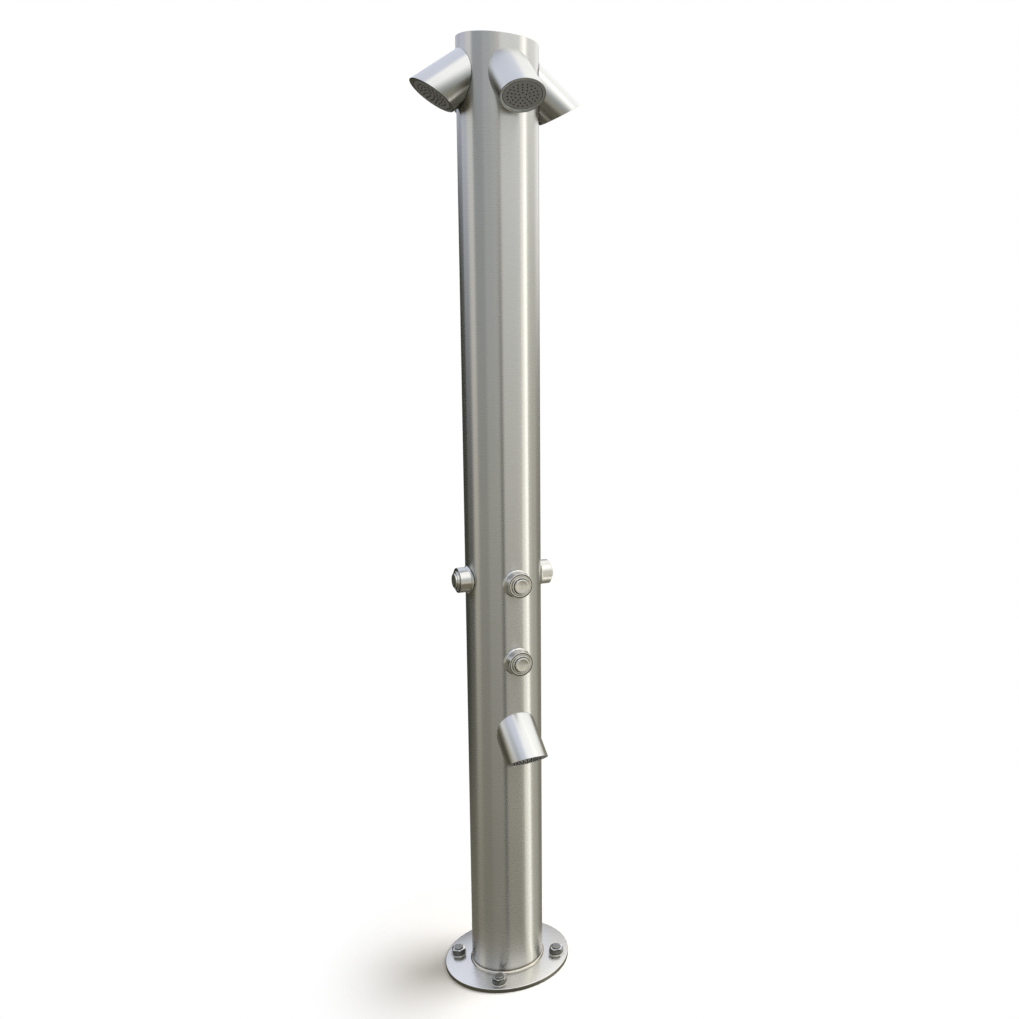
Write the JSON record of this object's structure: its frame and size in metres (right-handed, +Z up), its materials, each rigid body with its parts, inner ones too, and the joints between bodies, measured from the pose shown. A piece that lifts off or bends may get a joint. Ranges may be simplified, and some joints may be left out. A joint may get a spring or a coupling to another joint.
{
  "type": "outdoor shower post",
  "caption": "Tall round stainless shower post on a bolted flange, with tilted shower heads around the top, a low foot spout and push-button valves.",
  "frame": {"origin": "on the ground at the centre of the base flange", "axes": "+Z up along the column; -Y is the front, the side with the foot spout and two buttons"},
  "size_m": [0.362, 0.362, 2.12],
  "materials": {
    "flange_steel": "satin stainless, brushed flat",
    "weld_steel": "dressed weld, bright satin",
    "column_steel": "satin stainless, brushed around the tube",
    "cap_steel": "satin stainless",
    "stud_steel": "plain stainless thread",
    "washer_steel": "bright stainless washer",
    "nut_steel": "polished stainless hexagon nut",
    "fitting_brass": "machined brass",
    "pipe_steel": "drawn stainless pipe",
    "bracket_steel": "mill finish stainless",
    "housing_steel": "satin stainless, brushed around the tube",
    "bezel_steel": "matt stainless ring",
    "spray_plate": "satin grey moulded plate",
    "nozzle_rubber": "matt dark rubber",
    "chamber_plastic": "moulded plastic",
    "collar_steel": "turned stainless, satin",
    "button_steel": "turned stainless, satin",
    "spindle_steel": "ground stainless rod",
    "spring_steel": "plain spring wire",
    "seal_rubber": "black rubber"
  },
  "bodies": {
    "post": {"base_flange": "flange_steel", "foot_weld": "weld_steel", "column_tube": "column_steel", "top_cap": "cap_steel", "anchor_studs": "stud_steel", "anchor_washers": "washer_steel", "anchor_nuts": "nut_steel", "inlet_nipple": "fitting_brass", "riser_lower": "pipe_steel", "riser_upper": "pipe_steel", "riser_bracket": "bracket_steel", "riser_clamp": "bracket_steel", "clamp_screw": "stud_steel", "tee_block": "fitting_brass", "cross_block": "fitting_brass", "inlet_tails": "fitting_brass", "feed_pipes": "pipe_steel", "feed_elbows": "fitting_brass", "pipe_nuts": "fitting_brass", "head_housing_front": "housing_steel", "head_housing_right": "housing_steel", "head_housing_back": "housing_steel", "head_housing_left": "housing_steel", "head_housing_foot": "housing_steel", "face_bezels": "bezel_steel", "nozzle_mats": "nozzle_rubber", "spray_chambers": "chamber_plastic", "spray_plate_front": "spray_plate", "spray_plate_right": "spray_plate", "spray_plate_back": "spray_plate", "spray_plate_left": "spray_plate", "spray_plate_foot": "spray_plate", "valve_collar_front": "collar_steel", "valve_collar_right": "collar_steel", "valve_collar_back": "collar_steel", "valve_collar_left": "collar_steel", "valve_collar_foot": "collar_steel", "return_spring_front": "spring_steel", "return_spring_right": "spring_steel", "return_spring_back": "spring_steel", "return_spring_left": "spring_steel", "return_spring_foot": "spring_steel", "valve_body_front": "fitting_brass", "valve_body_right": "fitting_brass", "valve_body_back": "fitting_brass", "valve_body_left": "fitting_brass", "valve_body_foot": "fitting_brass", "valve_seals": "seal_rubber", "saddle_washers": "washer_steel", "lock_nuts": "fitting_brass"},
    "front_button": {"push_button_front": "button_steel", "spindle_front": "spindle_steel"},
    "right_button": {"push_button_right": "button_steel", "spindle_right": "spindle_steel"},
    "back_button": {"push_button_back": "button_steel", "spindle_back": "spindle_steel"},
    "left_button": {"push_button_left": "button_steel", "spindle_left": "spindle_steel"},
    "foot_button": {"push_button_foot": "button_steel", "spindle_foot": "spindle_steel"}
  },
  "joints": [
    {"name": "front_button_push", "type": "slide", "parent": "post", "child": "front_button", "axis": [0, 1, 0], "range_m": [0, 0.007], "stiffness_N_per_m": 2500, "springref_m": -0.004, "deforming": ["return_spring_front"]},
    {"name": "right_button_push", "type": "slide", "parent": "post", "child": "right_button", "axis": [-1, 0, 0], "range_m": [0, 0.007], "stiffness_N_per_m": 2500, "springref_m": -0.004, "deforming": ["return_spring_right"]},
    {"name": "back_button_push", "type": "slide", "parent": "post", "child": "back_button", "axis": [0, -1, 0], "range_m": [0, 0.007], "stiffness_N_per_m": 2500, "springref_m": -0.004, "deforming": ["return_spring_back"]},
    {"name": "left_button_push", "type": "slide", "parent": "post", "child": "left_button", "axis": [1, 0, 0], "range_m": [0, 0.007], "stiffness_N_per_m": 2500, "springref_m": -0.004, "deforming": ["return_spring_left"]},
    {"name": "foot_button_push", "type": "slide", "parent": "post", "child": "foot_button", "axis": [0, 1, 0], "range_m": [0, 0.007], "stiffness_N_per_m": 2500, "springref_m": -0.004, "deforming": ["return_spring_foot"]}
  ]
}
